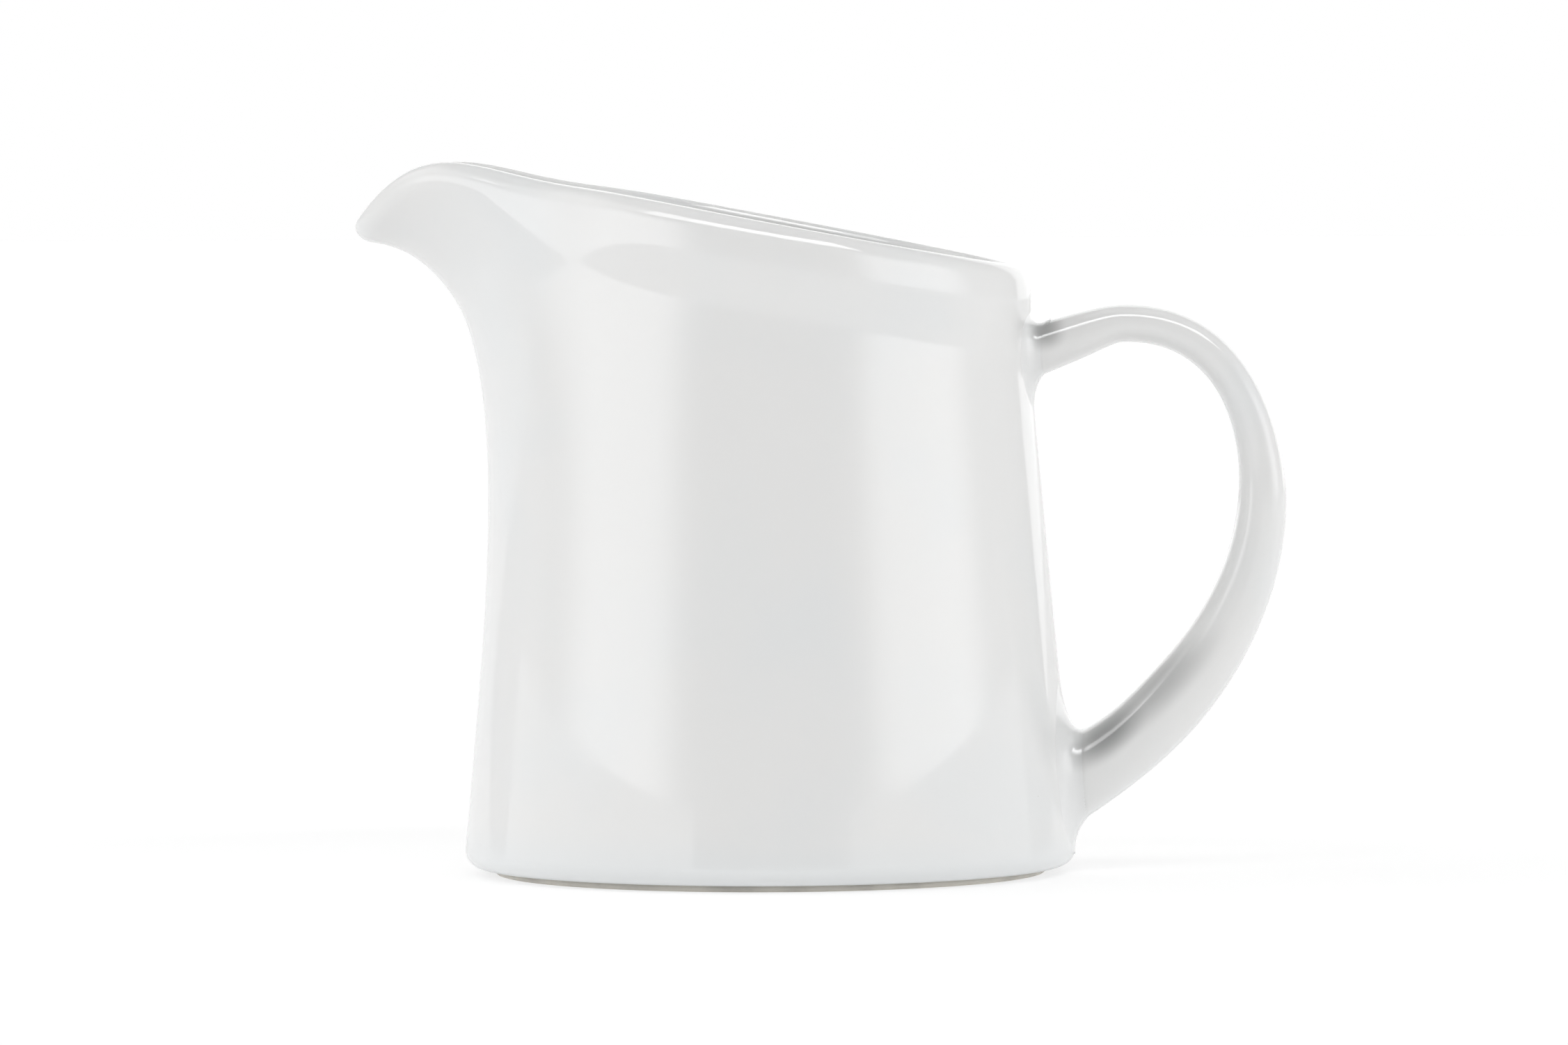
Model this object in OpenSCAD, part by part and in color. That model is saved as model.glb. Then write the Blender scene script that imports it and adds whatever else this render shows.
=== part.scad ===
// Porcelain milk jug: a tapered round body with a pulled spout and a sloping rim,
// and a strap handle stuck to it with slip.
// The jug stands on z = 0 with its axis on Z. The spout points to -X, the handle to +X.

/* [Body] */
// Diameter of the outer wall, carried down to the table
base_d = 80.3; // [66:0.1:98]
// Height of the rim above the table, on the body's axis
rim_z = 85.5; // [70:0.1:104]
// Slope of the rim, which rises from the handle to the spout, in degrees
rim_tilt = 10.2; // [0:0.1:13]
// Lean of the wall, which narrows towards the rim, in degrees
wall_lean = 5.2; // [0:0.1:7]
// How far the wall flares out again below the rim
rim_flare = 1; // [0:0.1:2]
// Height of the stretch that flares
rim_flare_h = 12; // [8:0.5:18]
// Thickness of the wall
wall = 3.2; // [2.4:0.1:4]
// Thickness of the wall at the lip
lip = 3.2; // [2:0.1:3.8]
// Height over which the lip rounds over
lip_h = 2.6; // [1:0.1:3]
// Thickness of the floor
floor_t = 4; // [2.5:0.1:6]
// Radius of the outer edge under the wall
edge_r = 2.2; // [1.5:0.1:5]
// Radius inside, where the wall meets the floor
well_r = 7; // [3:0.1:12]

/* [Spout] */
// Reach of the spout's tip beyond the side of the base
spout_out = 14.15; // [6:0.05:23.5]
// Depth of the lip's underside at the tip, below the height of the rim
spout_drop = 3.1; // [0:0.1:11]
// Height where the throat starts to swell out of the wall
throat_z = 20; // [10:0.5:30]
// Length over which the throat still follows the wall
throat_run = 38.5; // [24:0.5:42]
// Length of the drooping beak behind the tip
beak_run = 14.8; // [10:0.1:20]
// How far the back of the beak lies below its tip
beak_drop = 1.8; // [0:0.1:3]
// Half width of the spout at the rim, as an angle about the axis
spout_spread = 16.4; // [11:0.1:20]
// Half width of the dip in the rim over the spout, as an angle
dip_spread = 7.3; // [6:0.1:12]
// Half width of the throat where it starts, as an angle
throat_spread = 34; // [24:1:45]

/* [Handle] */
// Depth of the middle of the upper joint below the height of the rim
upper_drop = 18; // [15.5:0.1:25]
// Height of the middle of the lower joint
lower_z = 11.7; // [10:0.1:18]
// Rise of the handle's middle line from there to its top
crown_rise = 4.1; // [0.5:0.05:8.5]
// Distance from the side of the base out to the top of that line
crown_out = 6.45; // [4:0.05:9.8]
// Distance from the side of the base out to the farthest place of that line
grip_out = 24.15; // [20:0.05:31.8]
// Depth of the farthest place below the top
grip_drop = 22; // [17.5:0.1:27.5]
// How far the line bows up again as it leaves the lower joint
low_bow = 6.4; // [3:0.1:9]
// Width of the strap along the grip
strap_w = 11.5; // [8:0.1:16]
// Thickness of the strap along the grip
strap_t = 5; // [4:0.1:7]
// Width of the strap at the upper joint
upper_w = 13; // [9:0.1:18]
// Thickness of the strap at the upper joint
upper_t = 7.3; // [5:0.1:9]
// Width of the strap at the lower joint
lower_w = 15; // [9:0.1:20]
// Thickness of the strap at the lower joint
lower_t = 12.2; // [7:0.1:14]

/* [Slip joints] */
// Thickness of the slip between the handle and the wall
slip_t = 0.4; // [0.2:0.1:1]
// Radius of the slip fillet round the upper joint
upper_slip_r = 1.8; // [1:0.1:2.4]
// Radius of the slip fillet round the lower joint
lower_slip_r = 2.4; // [1:0.1:2.4]
// How far the slip is smeared on along the wall, on the upper joint's finger side
upper_smear = 1.6; // [0:0.1:4]
// How far the slip is smeared on along the wall, on the lower joint's finger side
lower_smear = 5; // [0:0.1:6]

/* [Foot ring] */
// How far the ring is set in from the side of the base
foot_inset = 4.25; // [2.5:0.05:11]
// Width of the ring
foot_w = 3.6; // [2:0.1:6]
// Height of the ring
foot_h = 0.9; // [0.6:0.1:2]
// Bevel on the ring's lower edges
foot_bevel = 0.3; // [0.1:0.05:0.4]

/* [Hidden] */

glaze_white = [0.95, 0.95, 0.94];
slip_white = [0.90, 0.90, 0.89];
bare_clay = [0.86, 0.84, 0.79];

round_sides = 72;   // points in each ring of the body
throat_rings = 24;  // rings from the throat's start to the rim
edge_rings = 4;     // rings in each small round edge
strap_sides = 28;   // points in each ring of the handle
strap_rings = 12;   // rings in each of the handle's three curves
squareness = 3;     // exponent of the strap's rounded section, where 2 is an ellipse
degree = 180 / PI;  // degrees in a radian
step = 0.01;        // step along a curve when its slope is taken
turn_step = 0.5;    // the same, in degrees round the axis

crest = 0.72;       // place of the lip's crest, as a share of its thickness from outside
recess = 0.8;       // how far the underside rises inside the foot ring
base_r = base_d / 2;
rim_r = base_r - rim_z * tan(wall_lean) + rim_flare;
foot_r = base_r - foot_inset;
spout_reach = base_r + spout_out;
spout_z = rim_z - spout_drop;
upper_z = rim_z - upper_drop;
crown_x = base_r + crown_out;
crown_z = upper_z + crown_rise;
grip_x = base_r + grip_out;
grip_z = crown_z - grip_drop;
tip_r = spout_reach - lip_h;
rim_dip = rim_z - lip_h + tip_r * tan(rim_tilt) - spout_z;

// ---- curves

function mix(a, b, t) = a + (b - a) * t;
function ease(t) = let (u = max(0, min(1, t))) u * u * (3 - 2 * u);
function bell(a, spread) = exp(-a * a / (2 * spread * spread));
function unit(v) = v / norm(v);
function bezier(p, t) =
    let (u = 1 - t) u * u * u * p[0] + 3 * u * u * t * p[1] + 3 * u * t * t * p[2] + t * t * t * p[3];

// ---- the body's outer surface: "a" is the angle from the spout, "s" runs from throat to rim

function wall_r(z) = base_r - z * tan(wall_lean);

function top_z(a) =
    let (r = mix(rim_r, tip_r, bell(a, spout_spread)))
    rim_z - lip_h + r * cos(a) * tan(rim_tilt) - rim_dip * bell(a, dip_spread);

// Each upright line of the surface is one curve of four control points: two on the wall,
// one where the line bends towards the rim, and one at the rim. The flare is added to it.
function bend_z(a) = mix(top_z(a) - rim_flare_h, spout_z - beak_drop, bell(a, dip_spread));
function line_z(a) = [throat_z, throat_z + throat_run, bend_z(a), top_z(a)];
function line_r(a) = [for (z = line_z(a)) wall_r(z)];
function flare(a, z) = rim_flare * ease(1 - (top_z(a) - z) / rim_flare_h);
tip_end = tip_r - rim_flare;
front_r = [wall_r(throat_z), wall_r(throat_z + throat_run), tip_end - beak_run, tip_end];
swell = front_r - line_r(0);

function outer(a, s) =
    let (spread = mix(throat_spread, spout_spread, s))
    let (z = bezier(line_z(a), s))
    let (r = bezier(line_r(a), s) + bezier(swell, s) * bell(a, spread) + flare(a, z))
    [-r * cos(a), -r * sin(a), z];

function round_rim(a, s) = outer(a + turn_step, s) - outer(a - turn_step, s);
function up_along(a, s) = outer(a, min(1, s + step)) - outer(a, max(0, s - step));
function outward(a, s) = unit(cross(round_rim(a, s), up_along(a, s)));
function thickness(s) = mix(wall, lip, s);
function inner(a, s) = outer(a, s) - thickness(s) * outward(a, s);

// The lip rounds over slowly outside its crest and quickly inside it.
function lip_point(a, t) =
    let (out = outward(a, 1), up = cross(out, unit(round_rim(a, 1))))
    let (depth = crest - (t < 90 ? crest : 1 - crest) * cos(t))
    outer(a, 1) - lip * depth * out + lip_h * sin(t) * up;

// The angles lie closer together at the spout and at the handle than at the sides.
bunching = 0.45;
angles = [
    for (i = [0 : round_sides - 1])
        let (u = 2 * i / round_sides - 1) 180 * u - bunching / 2 * degree * sin(360 * u)
];

function level_ring(r, z) = [for (a = angles) [-r * cos(a), -r * sin(a), z]];

// ---- a closed skin over a row of rings, from one end point to the other

module skin(rings, first, last) {
    n = len(rings[0]);
    rows = len(rings);
    points = concat([first], [for (ring = rings) each ring], [last]);
    function at(i, j) = 1 + i * n + j % n;
    polyhedron(points, concat(
        [for (j = [0 : n - 1]) [0, at(0, j), at(0, j + 1)]],
        [for (i = [0 : rows - 2], j = [0 : n - 1]) each [
            [at(i, j), at(i + 1, j), at(i, j + 1)],
            [at(i, j + 1), at(i + 1, j), at(i + 1, j + 1)]
        ]],
        [for (j = [0 : n - 1]) [at(rows - 1, j), len(points) - 1, at(rows - 1, j + 1)]]
    ), convexity = 6);
}

// ---- body

module body() {
    foot_in = foot_r - foot_w;
    edge_z = foot_h + edge_r;
    edge_x = wall_r(edge_z + edge_r * sin(wall_lean)) - edge_r * cos(wall_lean);
    floor_z = foot_h + recess + floor_t;
    well_z = floor_z + well_r;
    well_x = wall_r(well_z - well_r * sin(wall_lean)) - (wall + well_r) / cos(wall_lean);
    under = [level_ring(foot_in - recess, foot_h + recess), level_ring(foot_in, foot_h)];
    edge = [for (k = [0 : edge_rings])
        let (t = mix(-90, wall_lean, k / edge_rings))
        level_ring(edge_x + edge_r * cos(t), edge_z + edge_r * sin(t))];
    outside = [for (k = [0 : throat_rings]) [for (a = angles) outer(a, k / throat_rings)]];
    rim = [for (k = [1 : edge_rings]) [for (a = angles) lip_point(a, 180 * k / (edge_rings + 1))]];
    inside = [for (k = [throat_rings : -2 : 0]) [for (a = angles) inner(a, k / throat_rings)]];
    well = [for (k = [0 : edge_rings])
        let (t = mix(wall_lean, -90, k / edge_rings))
        level_ring(well_x + well_r * cos(t), well_z + well_r * sin(t))];
    color(glaze_white)
        skin(concat(under, edge, outside, rim, inside, well),
             [0, 0, foot_h + recess], [0, 0, floor_z]);
}

// ---- foot ring

module foot_ring() {
    color(bare_clay)
        rotate_extrude($fn = 120)
            polygon([
                [foot_r - foot_w, foot_h], [foot_r - foot_w, foot_bevel],
                [foot_r - foot_w + foot_bevel, 0], [foot_r - foot_bevel, 0],
                [foot_r, foot_bevel], [foot_r, foot_h]
            ]);
}

// ---- handle: the middle line of the strap, in the plane y = 0, as three curves

stem = [3.8, 0.95];          // where the stem bends level: this far behind and below the crown
level_run = 2.7;             // length of the level stretch before the crown
crown_pull = [0.78, 0.4];    // how full the bend from the crown into the grip is
heel_pull = [0.445, 0.47];   // how full the bend from the grip into the lower joint is

upper_curve = [
    [rim_r, upper_z], [crown_x, crown_z] - stem, [crown_x - level_run, crown_z], [crown_x, crown_z]
];
grip_curve = [
    [crown_x, crown_z], [mix(crown_x, grip_x, crown_pull[0]), crown_z],
    [grip_x, mix(grip_z, crown_z, crown_pull[1])], [grip_x, grip_z]
];
lower_curve = [
    [grip_x, grip_z], [grip_x, mix(grip_z, lower_z, heel_pull[0])],
    [mix(wall_r(lower_z), grip_x, heel_pull[1]), lower_z + low_bow], [wall_r(lower_z), lower_z]
];
strap_curves = [upper_curve, grip_curve, lower_curve];

// "t" runs from 0 at the upper joint to 3 at the lower joint.
function middle(t) =
    let (k = min(2, floor(t))) let (p = bezier(strap_curves[k], t - k)) [p[0], 0, p[1]];
function along(t) = unit(middle(min(3, t + step)) - middle(max(0, t - step)));

// The strap is even along the grip and grows towards both joints.
function grown(t, even, upper, lower, from, power) =
    let (up = pow(max(0, 1 - t), 2), down = pow(max(0, t - from) / (3 - from), power))
    even + (upper - even) * up + (lower - even) * down;
function half_w(t) = grown(t, strap_w, upper_w, lower_w, 1.6, 2) / 2;
function half_t(t) = grown(t, strap_t, upper_t, lower_t, 1.4, 1.8) / 2;

function rounded(c) = sign(c) * pow(abs(c), 2 / squareness);
section = [for (j = [0 : strap_sides - 1])
    let (b = 360 * j / strap_sides) [-rounded(sin(b)), rounded(cos(b))]];

// Near each joint the strap's section turns upright, to face the wall.
turning = 0.6;
function across(t) =
    let (d = along(t), start = ease(1 - t / turning), end = ease(1 - (3 - t) / turning))
    unit((1 - start - end) * [-d[2], 0, d[0]] + (start - end) * [0, 0, 1]);

function strap_ring(t) =
    let (m = middle(t), up = across(t))
    [for (p = section) m + half_w(t) * p[0] * [0, 1, 0] + half_t(t) * p[1] * up];

// A point on the wall behind the handle, "off" away from it.
function on_wall(y, z, off) = [sqrt(pow(wall_r(z) + flare(180, z) + off, 2) - y * y), y, z];

// A ring that lies "off" away from the wall: the strap's section at that joint, scaled, grown
// by "grow" all round and reaching further by "smear" on the finger side.
function joint_ring(low, off, scale = 1, grow = 0, smear = 0) =
    let (t = low ? 3 : 0, z = low ? lower_z : upper_z, side = low ? -1 : 1)
    [for (p = section)
        let (rise = half_t(t) + grow + smear * pow(max(0, -p[1]), 2))
        on_wall(scale * (half_w(t) + grow) * p[0], z + side * scale * rise * p[1], off)];
function joint_centre(low, off) = on_wall(0, low ? lower_z : upper_z, off);

cap_steps = [1/3, 2/3];
near_joint = 0.1;   // the first and last rings of the free strap, in units of "t"
far_joint = 2.93;

module handle() {
    start = [for (c = cap_steps) joint_ring(false, slip_t, c)];
    end = [for (c = [cap_steps[1], cap_steps[0]]) joint_ring(true, slip_t, c)];
    free = [for (k = [0 : 3 * strap_rings])
        strap_ring(mix(near_joint, far_joint, k / (3 * strap_rings)))];
    color(glaze_white)
        skin(concat(start, [joint_ring(false, slip_t)], free, [joint_ring(true, slip_t)], end),
             joint_centre(false, slip_t), joint_centre(true, slip_t));
}

// ---- slip joints: a thin pad between the strap and the wall, with a hollow fillet round it

function fillet_ring(low, r, smear, k) =
    let (root = joint_ring(low, slip_t), foot = joint_ring(low, 0, 1, r, smear))
    let (next = strap_ring(low ? far_joint : near_joint), u = k / edge_rings)
    [for (j = [0 : strap_sides - 1])
        let (climb = root[j] + r * unit(next[j] - root[j]))
        (1 - u) * (1 - u) * foot[j] + 2 * u * (1 - u) * root[j] + u * u * climb];

module slip_joint(low, r, smear) {
    pad = [for (c = cap_steps) joint_ring(low, 0, c, r, smear)];
    fillet = [for (k = [0 : edge_rings]) fillet_ring(low, r, smear, k)];
    top = [for (c = [1, cap_steps[1], cap_steps[0]]) joint_ring(low, slip_t, c)];
    rings = concat(pad, fillet, top);
    back = joint_centre(low, 0);
    face = joint_centre(low, slip_t);
    if (low)
        skin([for (k = [len(rings) - 1 : -1 : 0]) rings[k]], face, back);
    else
        skin(rings, back, face);
}

module upper_slip_joint() {
    color(slip_white) slip_joint(false, upper_slip_r, upper_smear);
}

module lower_slip_joint() {
    color(slip_white) slip_joint(true, lower_slip_r, lower_smear);
}

body();
foot_ring();
handle();
upper_slip_joint();
lower_slip_joint();
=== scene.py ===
from functools import lru_cache
from math import atan2, cos, degrees, exp, hypot, pi, radians, sin, tan

import bmesh
import bpy
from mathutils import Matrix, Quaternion, Vector


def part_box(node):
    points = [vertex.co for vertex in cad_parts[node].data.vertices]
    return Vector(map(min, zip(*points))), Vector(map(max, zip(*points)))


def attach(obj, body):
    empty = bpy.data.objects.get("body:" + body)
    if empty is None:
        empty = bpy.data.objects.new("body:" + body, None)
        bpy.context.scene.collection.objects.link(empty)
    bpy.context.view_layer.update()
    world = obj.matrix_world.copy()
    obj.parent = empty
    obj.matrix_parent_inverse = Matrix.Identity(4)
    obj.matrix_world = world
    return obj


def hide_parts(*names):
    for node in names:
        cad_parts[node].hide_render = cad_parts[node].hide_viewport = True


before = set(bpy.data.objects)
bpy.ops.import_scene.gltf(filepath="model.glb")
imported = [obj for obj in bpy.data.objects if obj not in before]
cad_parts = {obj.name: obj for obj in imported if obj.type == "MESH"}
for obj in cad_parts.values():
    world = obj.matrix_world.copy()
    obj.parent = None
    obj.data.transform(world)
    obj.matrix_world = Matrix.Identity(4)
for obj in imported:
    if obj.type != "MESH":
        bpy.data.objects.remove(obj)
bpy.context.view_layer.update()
mm = 0.001  # every size below is in millimetres, and every angle in degrees

# The thrown body. The spout points to -X and the handle to +X.
jug = {
    "baseRadius": 40.15,
    "rimHeight": 85.5,
    "rimSlope": 10.2,
    "wallLean": 5.2,
    "flare": 1,
    "flareHeight": 12,
    "wall": 3.2,
    "lip": 3.2,
    "lipHeight": 2.6,
    "crest": 0.72,
    "floor": 4,
    "edge": 2.2,
    "well": 7,
    "recess": 0.8,
    "sides": 288,
    "wallRows": 64,
    "lowRows": 14,
    "roundRows": 12,
}

spout = {
    "reach": 54.3,
    "height": 82.4,
    "throatStart": 20,
    "throatRun": 38.5,
    "beakRun": 14.8,
    "beakDrop": 1.8,
    "spread": 16.4,
    "dipSpread": 7.3,
    "throatSpread": 34,
}

strap = {
    "upperZ": 67.5,
    "lowerZ": 11.7,
    "crown": (46.6, 71.6),
    "grip": (64.3, 49.6),
    "stem": (3.8, 0.95),
    "levelRun": 2.7,
    "crownPull": (0.78, 0.4),
    "heelPull": (0.445, 0.47),
    "lowBow": 6.4,
    "width": (13, 11.5, 15),
    "thickness": (7.3, 5, 12.2),
    "squareness": 3,
    "freeFrom": 0.1,
    "freeTo": 2.93,
    "turning": 0.6,
    "sides": 64,
    "rows": 132,
}

slip = {
    "pad": 0.4,
    "upper": {"radius": 1.8, "smear": 1.6},
    "lower": {"radius": 2.4, "smear": 5},
    "feather": 0.8,
    "sink": 0.1,
    "core": 0.6,
    "rows": 14,
}

foot = {
    "width": 3.6,
    "bevel": 0.3,
    "sides": 200,
}


def mix(a, b, t):
    return a + (b - a) * t


def ease(t):
    u = min(1, max(0, t))
    return u * u * (3 - 2 * u)


def bell(a, spread):
    return exp(-a * a / (2 * spread * spread))


def bezier(p, t):
    u = 1 - t
    return u * u * u * p[0] + 3 * u * u * t * p[1] + 3 * u * t * t * p[2] + t * t * t * p[3]


def wallRadius(z):
    return jug["baseRadius"] - z * tan(radians(jug["wallLean"]))


rimRadius = wallRadius(jug["rimHeight"]) + jug["flare"]
tipRadius = spout["reach"] - jug["lipHeight"]
slopeRise = tan(radians(jug["rimSlope"]))
rimDip = jug["rimHeight"] - jug["lipHeight"] + tipRadius * slopeRise - spout["height"]
throatTop = spout["throatStart"] + spout["throatRun"]
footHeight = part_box("foot_ring")[1].z / mm
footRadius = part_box("foot_ring")[1].x / mm


@lru_cache(maxsize=None)
def uprightLine(a):
    # the four control points of the outside's upright curve, "a" degrees round from the spout
    r = mix(rimRadius, tipRadius, bell(a, spout["spread"]))
    dip = bell(a, spout["dipSpread"])
    top = jug["rimHeight"] - jug["lipHeight"] + r * cos(radians(a)) * slopeRise - rimDip * dip
    bend = mix(top - jug["flareHeight"], spout["height"] - spout["beakDrop"], dip)
    heights = (spout["throatStart"], throatTop, bend, top)
    return heights, [wallRadius(z) for z in heights]


def flareAt(z, top):
    # the wall turns out again over the last stretch below the rim
    return jug["flare"] * ease(1 - (top - z) / jug["flareHeight"])


tipStart = tipRadius - jug["flare"]
frontRadii = (wallRadius(spout["throatStart"]), wallRadius(throatTop), tipStart - spout["beakRun"], tipStart)
swell = [front - plain for front, plain in zip(frontRadii, uprightLine(0)[1])]


@lru_cache(maxsize=None)
def outside(a, s):
    # a point of the outer skin: "s" runs from 0 at the throat's start to 1 at the rim
    heights, radii = uprightLine(a)
    z = bezier(heights, s)
    r = bezier(radii, s) + bezier(swell, s) * bell(a, mix(spout["throatSpread"], spout["spread"], s))
    r += flareAt(z, heights[3])
    return Vector((-r * cos(radians(a)), -r * sin(radians(a)), z))


def skinPoint(a, s, depth, lift):
    # a point "depth" of the wall's thickness in from the outer skin, and "lift" above the rim
    step = 0.01
    turn = 0.5
    around = outside(a + turn, s) - outside(a - turn, s)
    out = around.cross(outside(a, min(1, s + step)) - outside(a, max(0, s - step))).normalized()
    thickness = mix(jug["wall"], jug["lip"], s)
    return outside(a, s) - depth * thickness * out + lift * out.cross(around.normalized())


def finishPiece(bm, name, slotName, *nodes):
    mesh = bpy.data.meshes.new(name)
    bm.to_mesh(mesh)
    bm.free()
    mesh.polygons.foreach_set("use_smooth", [True] * len(mesh.polygons))
    piece = bpy.data.objects.new(name, mesh)
    bpy.context.scene.collection.objects.link(piece)
    mesh.materials.append(finishes[slotName])
    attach(piece, "root")
    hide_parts(*nodes)
    print(name, "has", len(mesh.polygons), "faces")
    return piece


def closeUp(bm):
    bmesh.ops.remove_doubles(bm, verts=bm.verts, dist=0.0001 * mm)
    bmesh.ops.recalc_face_normals(bm, faces=bm.faces)


def turnProfile(points, sides):
    # draws the profile in the plane y = 0 and spins it round the upright axis
    bm = bmesh.new()
    line = [bm.verts.new((r * mm, 0, z * mm)) for r, z in points]
    for a, b in zip(line, line[1:]):
        bm.edges.new((a, b))
    bmesh.ops.spin(bm, geom=bm.verts[:] + bm.edges[:], cent=(0, 0, 0), axis=(0, 0, 1), dvec=(0, 0, 0),
                   angle=2 * pi, steps=sides, use_merge=True, use_duplicate=False)
    closeUp(bm)
    return bm


# The finishes lie on the jug's own coordinates, so that one glaze runs on across the joints.
glazeLook = {
    "colour": (0.79, 0.79, 0.785),
    "cool": (0.765, 0.78, 0.785),
    "roughness": (0.03, 0.06),
    "waveSize": 16,
    "waveHeight": 0.012,
    "peelSize": 0.9,
    "peelHeight": 0.0006,
    "speckSpacing": 7,
    "speckRadius": 0.11,
    "speckShare": 0.2,
    "speckColour": (0.5, 0.48, 0.45),
    # painted shade: dark patches painted into the glaze colour in the corners at both handle joints
    "jointShadePatches": (
        {"centre": (36.2, -4, 70.2), "size": (3.6, 4.5, 3), "tilt": 15, "share": 0.75},
        {"centre": (43.6, -5.5, 17.6), "size": (7.5, 5, 3.2), "tilt": 36, "share": 0.65},
        {"centre": (50, -5.5, 23.6), "size": (14, 5, 3.6), "tilt": 43, "share": 0.4},
    ),
    # the colour of the painted shade at the joints
    "jointShadeColour": (0.16, 0.165, 0.165),
}

bareLook = {
    "colour": (0.72, 0.69, 0.63),
    "rubbed": (0.60, 0.575, 0.53),
    "grainSize": 0.35,
    "grainHeight": 0.03,
}


def linear(colour):
    return (*colour, 1)


class Recipe:
    # a short way to write a material's nodes
    def __init__(self, name):
        self.material = bpy.data.materials.new(name)
        self.material.use_nodes = True
        self.tree = self.material.node_tree
        self.shader = self.tree.nodes["Principled BSDF"]
        self.place = self.add("TexCoord").outputs["Object"]

    def add(self, kind, **inputs):
        node = self.tree.nodes.new("ShaderNode" + kind)
        for name, value in inputs.items():
            self.give(node.inputs[name], value)
        return node

    def give(self, socket, value):
        if isinstance(value, bpy.types.NodeSocket):
            self.tree.links.new(value, socket)
        else:
            socket.default_value = value

    def compute(self, operation, *values):
        node = self.add("Math")
        node.operation = operation
        for socket, value in zip(node.inputs, values):
            self.give(socket, value)
        return node.outputs[0]

    def noise(self, size, detail=2):
        # cloudy noise from 0 to 1, with patches about "size" millimetres across
        node = self.add("TexNoise", Vector=self.place, Scale=1000 / size, Detail=detail, Roughness=0.5)
        return node.outputs["Fac"]

    def ramp(self, value, start, end, low=0, high=1):
        node = self.add("MapRange", Value=value)
        node.interpolation_type = "SMOOTHSTEP"
        for name, number in (("From Min", start), ("From Max", end), ("To Min", low), ("To Max", high)):
            node.inputs[name].default_value = number
        return node.outputs[0]

    def blend(self, factor, first, second):
        node = self.add("Mix")
        node.data_type = "RGBA"
        sockets = [i for i in node.inputs if i.enabled]
        for socket, value in zip(sockets, (factor, first, second)):
            self.give(socket, value)
        return [o for o in node.outputs if o.enabled][0]

    def near(self, centre, size, tilt):
        # 0 at the middle of an egg-shaped region and 1 at its edge
        node = self.add("Mapping", Vector=self.place)
        node.vector_type = "TEXTURE"
        node.inputs["Location"].default_value = Vector(centre) * mm
        node.inputs["Rotation"].default_value = (0, -radians(tilt), 0)
        node.inputs["Scale"].default_value = Vector(size) * mm
        length = self.add("VectorMath")
        length.operation = "LENGTH"
        self.give(length.inputs[0], node.outputs[0])
        return length.outputs["Value"]

    def bump(self, height, depth, under=None):
        # "depth" is in millimetres
        node = self.add("Bump", Height=height, Distance=depth * mm, Strength=1)
        if under:
            self.give(node.inputs["Normal"], under)
        return node.outputs["Normal"]


def glazeMaterial(name, thickness):
    recipe = Recipe(name)
    look = glazeLook
    clouds = recipe.noise(22, 3)
    split = recipe.add("SeparateXYZ", Vector=recipe.place)
    # the glaze runs down in firing, so it lies thicker and cooler just above the foot
    pooled = recipe.ramp(split.outputs["Z"], 9 * mm, 2 * mm)
    cool = recipe.compute("MAXIMUM", recipe.ramp(clouds, 0.42, 0.75, thickness, 0.7), pooled)
    colour = recipe.blend(cool, linear(look["colour"]), linear(look["cool"]))
    # painted shade: dark patches are painted into the glaze colour in the corners above both joints, where
    # the strap meets the wall and shade falls
    for shadePatch in look["jointShadePatches"]:
        distance = recipe.near(shadePatch["centre"], shadePatch["size"], shadePatch["tilt"])
        depth = recipe.ramp(distance, 1, 0.2, 0, shadePatch["share"])
        colour = recipe.blend(depth, colour, linear(look["jointShadeColour"]))
    # a few pin-holes
    cells = recipe.add("TexVoronoi", Vector=recipe.place, Scale=1000 / look["speckSpacing"])
    dot = recipe.ramp(cells.outputs["Distance"], 1.6 * look["speckRadius"] / look["speckSpacing"],
                      0.6 * look["speckRadius"] / look["speckSpacing"])
    tone = recipe.add("SeparateColor", Color=cells.outputs["Color"])
    chosen = recipe.ramp(tone.outputs[0], look["speckShare"], 0.5 * look["speckShare"])
    speck = recipe.compute("MULTIPLY", dot, chosen)
    colour = recipe.blend(speck, colour, linear(look["speckColour"]))
    recipe.give(recipe.shader.inputs["Base Color"], colour)
    smudges = recipe.noise(9, 4)
    recipe.give(recipe.shader.inputs["Roughness"], recipe.ramp(smudges, 0.35, 0.7, *look["roughness"]))
    waves = recipe.bump(recipe.noise(look["waveSize"], 1), look["waveHeight"])
    peel = recipe.bump(recipe.noise(look["peelSize"], 2), look["peelHeight"], waves)
    pits = recipe.bump(recipe.compute("SUBTRACT", 1, speck), 0.02, peel)
    recipe.give(recipe.shader.inputs["Normal"], pits)
    recipe.shader.inputs["IOR"].default_value = 1.5
    return recipe.material


def bareMaterial(name):
    recipe = Recipe(name)
    look = bareLook
    rubbed = recipe.ramp(recipe.noise(6, 5), 0.4, 0.7)
    colour = recipe.blend(rubbed, linear(look["colour"]), linear(look["rubbed"]))
    recipe.give(recipe.shader.inputs["Base Color"], colour)
    grain = recipe.noise(look["grainSize"], 4)
    recipe.give(recipe.shader.inputs["Roughness"], recipe.ramp(grain, 0.3, 0.7, 0.6, 0.85))
    recipe.give(recipe.shader.inputs["Normal"], recipe.bump(grain, look["grainHeight"]))
    return recipe.material


finishes = {
    "glazed_porcelain": glazeMaterial("jug_glaze", 0),
    "glazed_slip": glazeMaterial("slip_glaze", 0.35),
    "bare_porcelain": bareMaterial("bare_clay"),
}


# body: a round beaker is turned first, then its rim is sloped and its spout is pulled
def arc(cx, cz, radius, start, end, rows):
    angles = [radians(mix(start, end, k / rows)) for k in range(rows + 1)]
    return [(cx + radius * cos(t), cz + radius * sin(t)) for t in angles]


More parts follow.
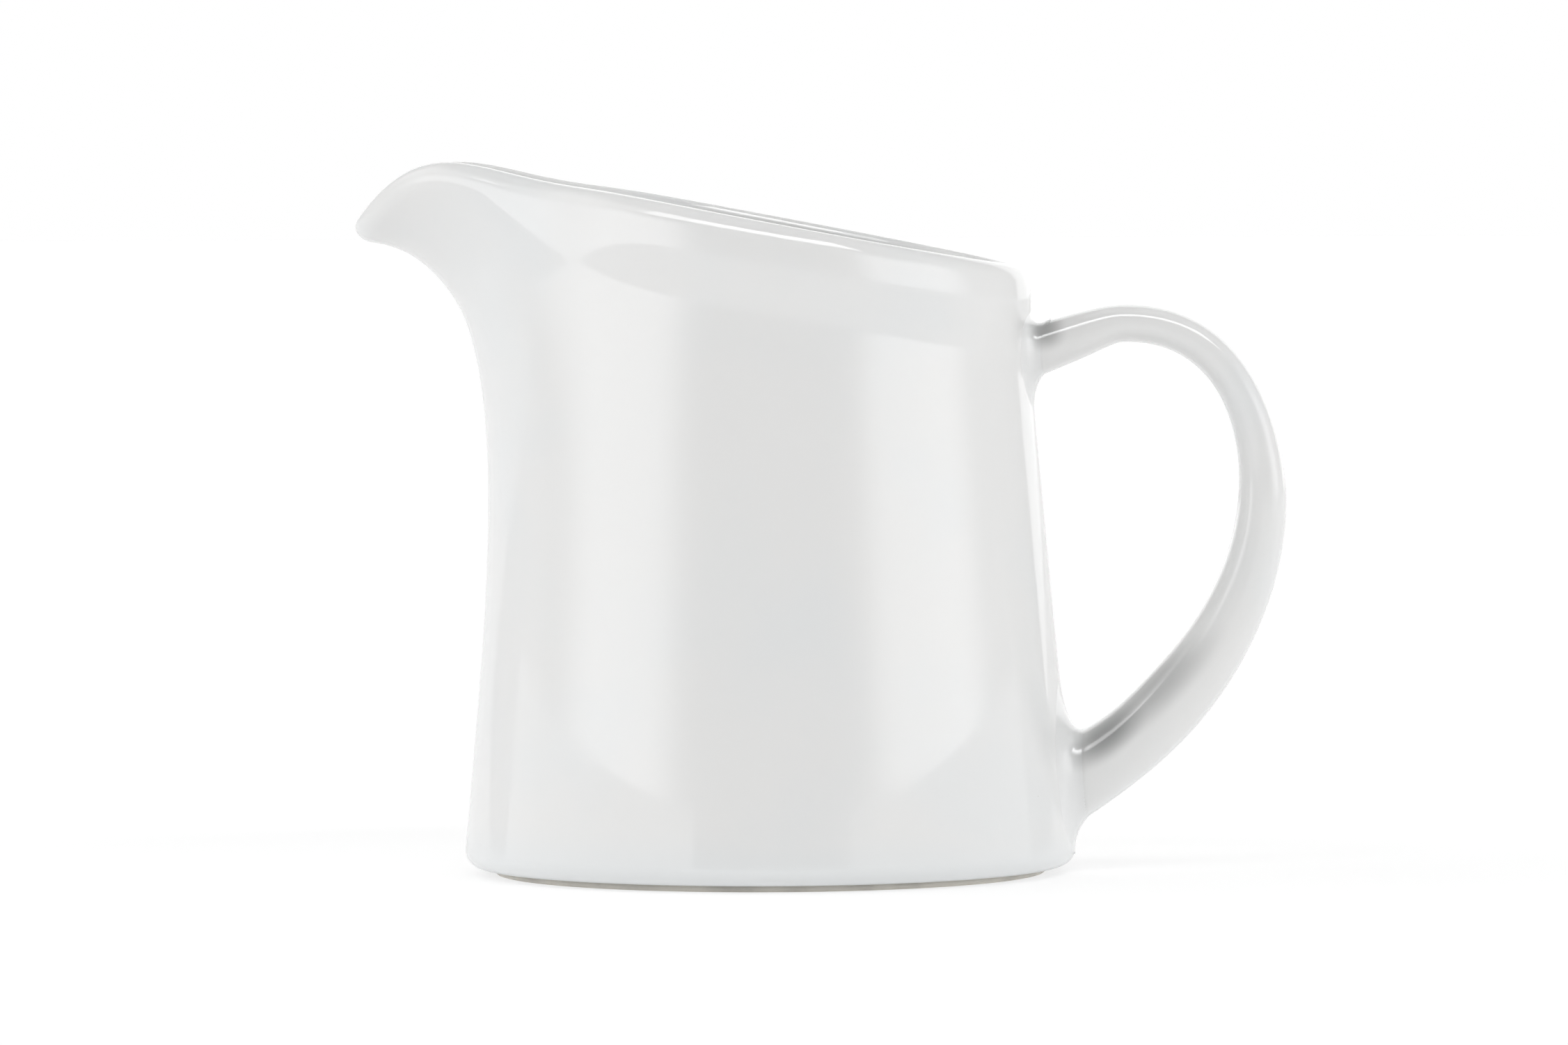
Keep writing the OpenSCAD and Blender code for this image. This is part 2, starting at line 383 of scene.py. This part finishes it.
def beakerProfile():
    lean = jug["wallLean"]
    leanSin = sin(radians(lean))
    leanCos = cos(radians(lean))
    throat = spout["throatStart"]
    edge = jug["edge"]
    edgeZ = footHeight + edge
    edgeX = wallRadius(edgeZ + edge * leanSin) - edge * leanCos
    well = jug["well"]
    floorZ = footHeight + jug["recess"] + jug["floor"]
    wellZ = floorZ + well
    wellX = wallRadius(wellZ - well * leanSin) - (jug["wall"] + well) / leanCos
    footInside = footRadius - foot["width"]
    underZ = footHeight + jug["recess"]
    rim = jug["rimHeight"] - jug["lipHeight"]
    under = [(0, underZ), (10, underZ), (20, underZ), (footInside - 2, underZ),
             (footInside - jug["recess"], underZ), (footInside, footHeight),
             (footInside + 1, footHeight), (footRadius, footHeight)]
    outerEdge = arc(edgeX, edgeZ, edge, -90, lean, jug["roundRows"])
    lowZ = outerEdge[-1][1]
    lowHeights = [mix(lowZ, throat, k / jug["lowRows"]) for k in range(1, jug["lowRows"])]
    low = [(wallRadius(z), z) for z in lowHeights]
    rows = range(jug["wallRows"] + 1)
    heights = [mix(throat, rim, k / jug["wallRows"]) for k in rows]
    thick = [mix(jug["wall"], jug["lip"], k / jug["wallRows"]) for k in rows]
    wallOut = [(wallRadius(z), z) for z in heights]
    wallIn = [(wallRadius(z) - t, z) for z, t in zip(heights, thick)]
    lip = []
    for k in range(1, jug["roundRows"]):
        t = pi * k / jug["roundRows"]
        depth = jug["crest"] - (jug["crest"] if cos(t) > 0 else 1 - jug["crest"]) * cos(t)
        lip.append((wallRadius(rim) - jug["lip"] * depth, rim + jug["lipHeight"] * sin(t)))
    innerWell = arc(wellX, wellZ, well, lean, -90, jug["roundRows"])
    floor = [(20, floorZ), (10, floorZ), (0, floorZ)]
    return under + outerEdge + low + wallOut + lip + wallIn[::-1] + innerWell + floor


def pullSpout(bm):
    throat = spout["throatStart"]
    rim = jug["rimHeight"] - jug["lipHeight"]
    for v in bm.verts:
        x, y, z = v.co / mm
        if z < throat - 0.001:
            continue
        a = round(degrees(atan2(-y, -x)), 4)
        s = round(min(1, (z - throat) / (rim - throat)), 6)
        thickness = mix(jug["wall"], jug["lip"], s)
        depth = (wallRadius(min(z, rim)) - hypot(x, y)) / thickness
        v.co = skinPoint(a, s, depth, max(0, z - rim)) * mm


def makeBody():
    bm = turnProfile(beakerProfile(), jug["sides"])
    pullSpout(bm)
    return finishPiece(bm, "jug_body", "glazed_porcelain", "body")


# handle: a rod is drawn out, then bent along three curves
crownX, crownZ = strap["crown"]
gripX, gripZ = strap["grip"]
stemRun, stemRise = strap["stem"]
upperCurve = [Vector(p) for p in ((rimRadius, strap["upperZ"]), (crownX - stemRun, crownZ - stemRise),
              (crownX - strap["levelRun"], crownZ), (crownX, crownZ))]
lowR = wallRadius(strap["lowerZ"])
gripCurve = [Vector(p) for p in ((crownX, crownZ), (mix(crownX, gripX, strap["crownPull"][0]), crownZ),
             (gripX, mix(gripZ, crownZ, strap["crownPull"][1])), (gripX, gripZ))]
lowerCurve = [Vector(p) for p in ((gripX, gripZ), (gripX, mix(gripZ, strap["lowerZ"], strap["heelPull"][0])),
              (mix(lowR, gripX, strap["heelPull"][1]), strap["lowerZ"] + strap["lowBow"]),
              (lowR, strap["lowerZ"]))]
strapCurves = (upperCurve, gripCurve, lowerCurve)


def middle(t):
    k = min(2, int(t))
    p = bezier(strapCurves[k], t - k)
    return Vector((p.x, 0, p.y))


def along(t):
    return (middle(min(3, t + 0.01)) - middle(max(0, t - 0.01))).normalized()


def grown(t, sizes, start, power):
    upper, even, lower = sizes
    up = max(0, 1 - t) ** 2
    down = (max(0, t - start) / (3 - start)) ** power
    return even + (upper - even) * up + (lower - even) * down


def halfWidth(t):
    return grown(t, strap["width"], 1.6, 2) / 2


def halfThickness(t):
    return grown(t, strap["thickness"], 1.4, 1.8) / 2


def across(t):
    d = along(t)
    start = ease(1 - t / strap["turning"])
    end = ease(1 - (3 - t) / strap["turning"])
    flat = Vector((-d.z, 0, d.x))
    return ((1 - start - end) * flat + (start - end) * Vector((0, 0, 1))).normalized()


def rounded(c):
    return (1 if c > 0 else -1) * abs(c) ** (2 / strap["squareness"])


def section(b):
    return -rounded(sin(b)), rounded(cos(b))


def strapPoint(b, t):
    side, up = section(b)
    return middle(t) + halfWidth(t) * side * Vector((0, 1, 0)) + halfThickness(t) * up * across(t)


def backRadius(z):
    return wallRadius(z) + flareAt(z, uprightLine(180)[0][3])


def onWall(y, z, off):
    return Vector((((backRadius(z) + off) ** 2 - y * y) ** 0.5, y, z))


def jointPoint(low, b, off, scale=1, grow=0, smear=0):
    t = 3 if low else 0
    z = strap["lowerZ"] if low else strap["upperZ"]
    side, up = section(b)
    rise = halfThickness(t) + grow + smear * max(0, -up) ** 2
    return onWall(scale * (halfWidth(t) + grow) * side, z + (-1 if low else 1) * scale * rise * up, off)


def drawRod(sides, rows):
    # a tube one unit long for each row, whose vertices are then put in place
    bm = bmesh.new()
    bmesh.ops.create_circle(bm, segments=sides, radius=1)
    bmesh.ops.spin(bm, geom=bm.verts[:] + bm.edges[:], cent=(0, 0, 0), axis=(0, 0, 1), dvec=(0, 0, 1),
                   angle=0, steps=rows, use_merge=False, use_duplicate=False)
    return bm


def capEnds(bm, centres):
    # fills each open end and pulls its middle to the wall
    ends = bmesh.ops.holes_fill(bm, edges=[e for e in bm.edges if e.is_boundary], sides=0)["faces"]
    ends.sort(key=lambda f: -f.calc_center_median().z)
    for face, centre in zip(ends, centres):
        middleVert = bmesh.ops.poke(bm, faces=[face])["verts"][0]
        middleVert.co = centre * mm


def makeHandle():
    rows = strap["rows"]
    bm = drawRod(strap["sides"], rows)
    for v in bm.verts:
        b = atan2(v.co.y, v.co.x)
        k = round(v.co.z)
        if k == 0 or k == rows:
            p = jointPoint(k == rows, b, slip["pad"])
        else:
            p = strapPoint(b, mix(strap["freeFrom"], strap["freeTo"], (k - 1) / (rows - 2)))
        v.co = p * mm
    capEnds(bm, [onWall(0, strap["upperZ"], slip["pad"]), onWall(0, strap["lowerZ"], slip["pad"])])
    closeUp(bm)
    return finishPiece(bm, "strap_handle", "glazed_porcelain", "handle")


# slip joints: a hollow fillet all round each end of the strap, with feathered edges
def makeSlip(name, low, node):
    radius = slip["lower" if low else "upper"]["radius"]
    smear = slip["lower" if low else "upper"]["smear"]
    rows = slip["rows"]
    near = strap["freeTo"] if low else strap["freeFrom"]
    bm = drawRod(strap["sides"], rows + 4)
    for v in bm.verts:
        b = atan2(v.co.y, v.co.x)
        k = round(v.co.z)
        root = jointPoint(low, b, slip["pad"])
        climb = (strapPoint(b, near) - root).normalized()
        foot = jointPoint(low, b, 0, 1, radius, smear)
        if k == 0:
            p = jointPoint(low, b, -2 * slip["sink"], slip["core"])
        elif k == 1:
            p = jointPoint(low, b, -slip["sink"], 1, radius + slip["feather"], smear)
        elif k < rows + 3:
            u = (k - 2) / rows
            p = (1 - u) ** 2 * foot + 2 * u * (1 - u) * root + u * u * (root + radius * climb)
        elif k == rows + 3:
            far = root + (radius + slip["feather"]) * climb
            p = far + slip["sink"] * (middle(near) - far).normalized()
        else:
            p = jointPoint(low, b, slip["pad"], slip["core"])
        v.co = p * mm
    for face in bmesh.ops.holes_fill(bm, edges=[e for e in bm.edges if e.is_boundary], sides=0)["faces"]:
        bmesh.ops.poke(bm, faces=[face])
    closeUp(bm)
    return finishPiece(bm, name, "glazed_slip", node)


def makeFoot():
    inner = footRadius - foot["width"]
    profile = [(inner, footHeight), (inner, 0), (footRadius, 0), (footRadius, footHeight),
               (inner, footHeight)]
    bm = turnProfile(profile, foot["sides"])
    near = 0.01 * mm
    lower = [e for e in bm.edges if all(v.co.z < near for v in e.verts)
             and abs(e.verts[0].co.length - e.verts[1].co.length) < near]
    bmesh.ops.bevel(bm, geom=lower, offset=foot["bevel"] * mm, segments=4, profile=0.5,
                    affect="EDGES", material=-1)
    return finishPiece(bm, "bare_foot", "bare_porcelain", "foot_ring")


makeBody()
makeHandle()
makeSlip("upper_slip", False, "upper_slip_joint")
makeSlip("lower_slip", True, "lower_slip_joint")
makeFoot()

camera = {
    "distance": 1301,
    "height": 96.2,
    "swing": 2.23,
    "roll": -0.243,
    "lens": 229.05,
    "aim": (1.94, 0.17, 45.5),
}

# Each light fills a window of directions round the jug: "turn" is the angle from the camera's side,
# to the right, where it starts, is full, starts to fade and ends, and "lift" is the same upwards.
lights = {
    "leftLow": {"turn": (-96, -70, -48, -26), "lift": (-40, -30, 18, 32), "strength": 2.6},
    "rightLow": {"turn": (34, 54, 82, 106), "lift": (-40, -30, 18, 32), "strength": 2.55},
    "leftHigh": {"turn": (-130, -110, -62, -54), "lift": (18, 34, 50, 60), "strength": 1.35},
    "rightHigh": {"turn": (50, 70, 110, 130), "lift": (15, 35, 55, 68), "strength": 0.3},
    "frontHigh": {"turn": (-34, -26, 52, 60), "lift": (43, 45, 53, 55), "strength": 5.4},
}

# One more window is seen only in reflections: it draws the thin bright lines on the rim and the strap.
gleam = {"turn": (-60, -56, 56, 60), "lift": (36, 38, 56, 58), "strength": 5}

room = {
    "dark": 0.1,
    "side": 0.56,
    "sideEdge": (-0.3, 0.3),
    "back": 0.7,
    "backEdge": (0.8, 0.82),
    "floor": 0.25,
    "floorSeen": 0.66,
    "white": 1,
    "tableHalf": 8,  # in metres
}

boards = {
    "distance": 300,
    "height": 39,
    "strength": 1.1,
    "turn": {"left": (-110, -25), "right": (30, 112)},
}


def makeCamera():
    swing = radians(camera["swing"])
    place = Vector((camera["distance"] * sin(swing), -camera["distance"] * cos(swing), camera["height"]))
    right, up, height = camera["aim"]
    forward = (Vector((0, 0, height)) - place).normalized()
    side = forward.cross(Vector((0, 0, 1))).normalized()
    roll = radians(camera["roll"])
    above = side.cross(forward)
    tilted = cos(roll) * side + sin(roll) * above
    top = tilted.cross(forward)
    aim = Vector((0, 0, height)) + right * tilted + up * top
    data = bpy.data.cameras.new("camera")
    data.lens = camera["lens"]
    data.sensor_width = 36
    data.clip_start = 0.01
    data.clip_end = 50
    made = bpy.data.objects.new("camera", data)
    made.location = place * mm
    made.rotation_mode = "QUATERNION"
    made.rotation_quaternion = (aim - place).to_track_quat("-Z", "Y") @ Quaternion((0, 0, 1), roll)
    bpy.context.scene.collection.objects.link(made)
    bpy.context.scene.camera = made


def stageMesh(name, bm):
    mesh = bpy.data.meshes.new(name)
    bm.to_mesh(mesh)
    bm.free()
    made = bpy.data.objects.new(name, mesh)
    bpy.context.scene.collection.objects.link(made)
    material = bpy.data.materials.new(name)
    material.use_nodes = True
    mesh.materials.append(material)
    return made, material.node_tree


def makeFloor():
    # a white table, lit a little from below so that the room's white runs on into it
    bm = bmesh.new()
    bmesh.ops.create_grid(bm, x_segments=1, y_segments=1, size=room["tableHalf"])
    floor, tree = stageMesh("studio_floor", bm)
    shader = tree.nodes["Principled BSDF"]
    shader.inputs["Roughness"].default_value = 0.9
    shader.inputs["Specular IOR Level"].default_value = 0
    shader.inputs["Emission Color"].default_value = (1, 1, 1, 1)
    path = tree.nodes.new("ShaderNodeLightPath")
    for socket, hidden, seen in (("Base Color", (0.8, 0.8, 0.8, 1), (0.4, 0.4, 0.4, 1)),
                                 ("Emission Strength", room["floor"], room["floorSeen"])):
        choose = tree.nodes.new("ShaderNodeMix")
        if socket == "Base Color":
            choose.data_type = "RGBA"
        plain = [i for i in choose.inputs if i.enabled]
        tree.links.new(path.outputs["Is Camera Ray"], plain[0])
        plain[1].default_value = hidden
        plain[2].default_value = seen
        tree.links.new([o for o in choose.outputs if o.enabled][0], shader.inputs[socket])


def makeBoards():
    # low grey boards in front of both side lights, so that the bands in the glaze end above the table
    for side, (start, end) in boards["turn"].items():
        bm = bmesh.new()
        bmesh.ops.create_grid(bm, x_segments=24, y_segments=1, size=1)
        for v in bm.verts:
            turn = radians(mix(start, end, (v.co.x + 1) / 2))
            height = boards["height"] * (v.co.y + 1) / 2
            v.co = Vector((boards["distance"] * sin(turn), -boards["distance"] * cos(turn), height)) * mm
        board, tree = stageMesh(side + "_board", bm)
        board.visible_camera = False
        board.visible_diffuse = False
        board.visible_shadow = False
        tree.nodes.clear()
        glow = tree.nodes.new("ShaderNodeEmission")
        glow.inputs["Strength"].default_value = boards["strength"]
        out = tree.nodes.new("ShaderNodeOutputMaterial")
        tree.links.new(glow.outputs[0], out.inputs["Surface"])


def makeRoom():
    world = bpy.data.worlds.new("studio_room")
    bpy.context.scene.world = world
    world.use_nodes = True
    nodes = world.node_tree.nodes
    links = world.node_tree.links
    nodes.clear()

    def compute(operation, *values):
        node = nodes.new("ShaderNodeMath")
        node.operation = operation
        for socket, value in zip(node.inputs, values):
            if isinstance(value, (int, float)):
                socket.default_value = value
            else:
                links.new(value, socket)
        return node.outputs[0]

    def rise(value, start, end, level=1):
        node = nodes.new("ShaderNodeMapRange")
        node.interpolation_type = "SMOOTHSTEP"
        links.new(value, node.inputs["Value"])
        for name, number in (("From Min", start), ("From Max", end), ("To Min", 0), ("To Max", level)):
            node.inputs[name].default_value = number
        return node.outputs[0]

    def window(value, start, full, fade, end, level=1):
        return compute("MULTIPLY", rise(value, start, full, level), rise(value, end, fade))

    coords = nodes.new("ShaderNodeTexCoord")
    split = nodes.new("ShaderNodeSeparateXYZ")
    links.new(coords.outputs["Generated"], split.inputs[0])
    x, y, z = split.outputs
    turn = compute("MULTIPLY", compute("ARCTAN2", x, compute("MULTIPLY", y, -1)), degrees(1))
    lift = compute("MULTIPLY", compute("ARCSINE", z), degrees(1))

    def shine(light):
        sideways = window(turn, *light["turn"], light["strength"])
        return compute("MULTIPLY", sideways, window(lift, *light["lift"]))

    level = compute("ADD", rise(y, *room["backEdge"], room["back"]), rise(y, *room["sideEdge"], room["side"]))
    level = compute("ADD", level, room["dark"])
    for light in lights.values():
        level = compute("ADD", level, shine(light))
    path = nodes.new("ShaderNodeLightPath")
    level = compute("ADD", level, compute("MULTIPLY", shine(gleam), path.outputs["Is Glossy Ray"]))
    seen = nodes.new("ShaderNodeMix")
    links.new(path.outputs["Is Camera Ray"], seen.inputs["Factor"])
    links.new(level, seen.inputs["A"])
    seen.inputs["B"].default_value = room["white"]
    background = nodes.new("ShaderNodeBackground")
    links.new(seen.outputs["Result"], background.inputs["Strength"])
    out = nodes.new("ShaderNodeOutputWorld")
    links.new(background.outputs[0], out.inputs["Surface"])
    background.inputs["Color"].default_value = (1, 1, 1, 1)


makeCamera()
makeFloor()
makeBoards()
makeRoom()
bpy.context.scene.view_settings.view_transform = "Standard"
